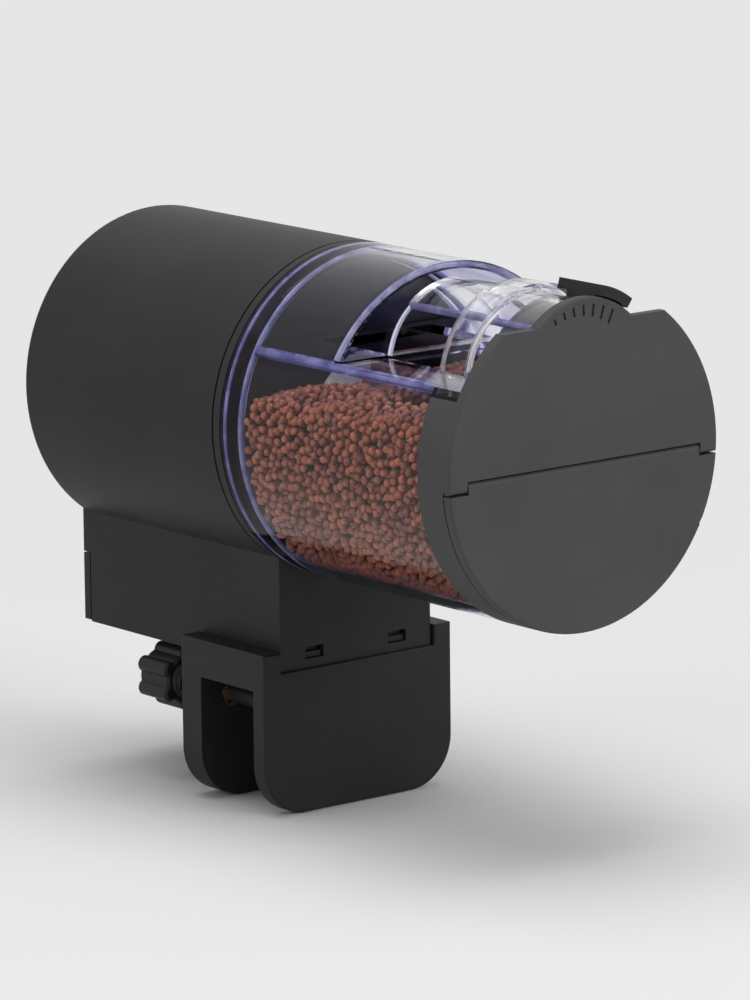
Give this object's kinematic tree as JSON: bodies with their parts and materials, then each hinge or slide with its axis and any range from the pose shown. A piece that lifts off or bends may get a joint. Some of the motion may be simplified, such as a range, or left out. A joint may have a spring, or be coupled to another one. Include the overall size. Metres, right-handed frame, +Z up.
{
  "type": "rotating drum feeder",
  "caption": "Clamp-on automatic feeder: a clear drum with a portion gate turns in front of a round motor body whose neck holds the cells and sits on a rim clamp.",
  "frame": {"origin": "middle of the clamp's rim seat, the face that rests on top of the tank's glass", "axes": "+Z up; the drum's axis runs along Y above the origin; -Y towards the end cap, +Y towards the control panel; +X to the right as seen from the end cap"},
  "size_m": [0.068, 0.1376, 0.115],
  "materials": {
    "shell_plastic": "fine moulded grain, matte with a soft sheen",
    "cap_plastic": "fine moulded grain, matte",
    "clear_plastic": "clear, glossy, with a faint violet-blue tint in its edges",
    "knob_plastic": "moulded, satin",
    "pad_rubber": "soft, matte",
    "brass": "turned",
    "steel": "zinc plated",
    "spring_steel": "nickel plated",
    "gear_nylon": "natural nylon, satin",
    "bush_plastic": "natural acetal, satin",
    "board_laminate": "green solder mask, satin",
    "chip_epoxy": "moulded epoxy",
    "cell_jacket": "printed film over a steel can",
    "button_rubber": "moulded, satin",
    "screen_pane": "clear, glossy",
    "screen_glass": "grey-green liquid crystal display"
  },
  "bodies": {
    "housing": {"body_shell": "shell_plastic", "clamp_bracket": "shell_plastic", "clamp_inserts": "brass", "battery_cell_left": "cell_jacket", "battery_cell_right": "cell_jacket", "front_contacts": "spring_steel", "battery_door_pin": "steel", "hub_bush": "bush_plastic", "limit_switch": "chip_epoxy", "gear_plate": "shell_plastic", "gear_plate_screws": "steel", "idler_axle": "steel", "drive_motor": "steel", "rear_cover": "cap_plastic", "rear_cover_screws": "steel", "lcd_window": "screen_pane", "lcd_display": "screen_glass", "control_board": "board_laminate", "control_chip": "chip_epoxy", "buzzer": "chip_epoxy", "push_switches": "chip_epoxy"},
    "battery_lid": {"battery_door": "shell_plastic", "bridge_contact": "spring_steel"},
    "drum": {"drum_shell": "clear_plastic", "drum_partition": "clear_plastic", "end_cap": "cap_plastic", "drive_hub": "gear_nylon", "position_cam": "gear_nylon", "output_gear": "gear_nylon", "fill_door_pin": "steel"},
    "fill_lid": {"fill_door": "cap_plastic"},
    "gate": {"gate_shell": "clear_plastic", "gate_lever": "knob_plastic"},
    "idler": {"idler_gear": "gear_nylon"},
    "pinion": {"motor_pinion": "brass"},
    "set_key": {"set_button": "button_rubber"},
    "up_key": {"up_button": "button_rubber"},
    "down_key": {"down_button": "button_rubber"},
    "feed_key": {"feed_button": "button_rubber"},
    "left_pad": {"clamp_pad_left": "pad_rubber"},
    "left_screw": {"thumb_screw_left": "knob_plastic"},
    "right_pad": {"clamp_pad_right": "pad_rubber"},
    "right_screw": {"thumb_screw_right": "knob_plastic"}
  },
  "joints": [
    {"name": "drum_spin", "type": "hinge", "parent": "housing", "child": "drum", "pos_m": [0, -0.0115, 0.055], "axis": [0, 1, 0], "continuous": true},
    {"name": "idler_spin", "type": "hinge", "parent": "housing", "child": "idler", "pos_m": [0.0216, -0.0035, 0.055], "axis": [0, 1, 0], "continuous": true},
    {"name": "pinion_spin", "type": "hinge", "parent": "housing", "child": "pinion", "pos_m": [0.01747, -0.0035, 0.06498], "axis": [0, 1, 0], "continuous": true},
    {"name": "gate_turn", "type": "hinge", "parent": "drum", "child": "gate", "pos_m": [0, -0.075, 0.0693], "axis": [0, 1, 0], "range_deg": [-55, 0]},
    {"name": "fill_door_swing", "type": "hinge", "parent": "drum", "child": "fill_lid", "pos_m": [0, -0.0821, 0.0534], "axis": [-1, 0, 0], "range_deg": [0, 95]},
    {"name": "battery_door_swing", "type": "hinge", "parent": "housing", "child": "battery_lid", "pos_m": [0, 0.0535, 0.0196], "axis": [1, 0, 0], "range_deg": [0, 95]},
    {"name": "set_press", "type": "slide", "parent": "housing", "child": "set_key", "axis": [0, -1, 0], "range_m": [0, 0.0008], "stiffness_N_per_m": 150, "springref_m": -0.0006},
    {"name": "up_press", "type": "slide", "parent": "housing", "child": "up_key", "axis": [0, -1, 0], "range_m": [0, 0.0008], "stiffness_N_per_m": 150, "springref_m": -0.0006},
    {"name": "down_press", "type": "slide", "parent": "housing", "child": "down_key", "axis": [0, -1, 0], "range_m": [0, 0.0008], "stiffness_N_per_m": 150, "springref_m": -0.0006},
    {"name": "feed_press", "type": "slide", "parent": "housing", "child": "feed_key", "axis": [0, -1, 0], "range_m": [0, 0.0008], "stiffness_N_per_m": 150, "springref_m": -0.0006},
    {"name": "left_pad_slide", "type": "slide", "parent": "housing", "child": "left_pad", "axis": [0, 1, 0], "range_m": [-0.005, 0.0085]},
    {"name": "left_screw_turn", "type": "hinge", "parent": "left_pad", "child": "left_screw", "pos_m": [-0.016, 0.02, -0.0044], "axis": [0, 1, 0], "range_deg": [-2050, 1210]},
    {"name": "right_pad_slide", "type": "slide", "parent": "housing", "child": "right_pad", "axis": [0, 1, 0], "range_m": [-0.005, 0.0085]},
    {"name": "right_screw_turn", "type": "hinge", "parent": "right_pad", "child": "right_screw", "pos_m": [0.016, 0.02, -0.0044], "axis": [0, 1, 0], "range_deg": [-2050, 1210]}
  ],
  "couplings": [
    {"joint": "idler_spin", "follows": "drum_spin", "ratio": -2},
    {"joint": "pinion_spin", "follows": "drum_spin", "ratio": 4},
    {"joint": "left_screw_turn", "follows": "left_pad_slide", "rad_per_m": -4188.8},
    {"joint": "right_screw_turn", "follows": "right_pad_slide", "rad_per_m": -4188.8}
  ]
}
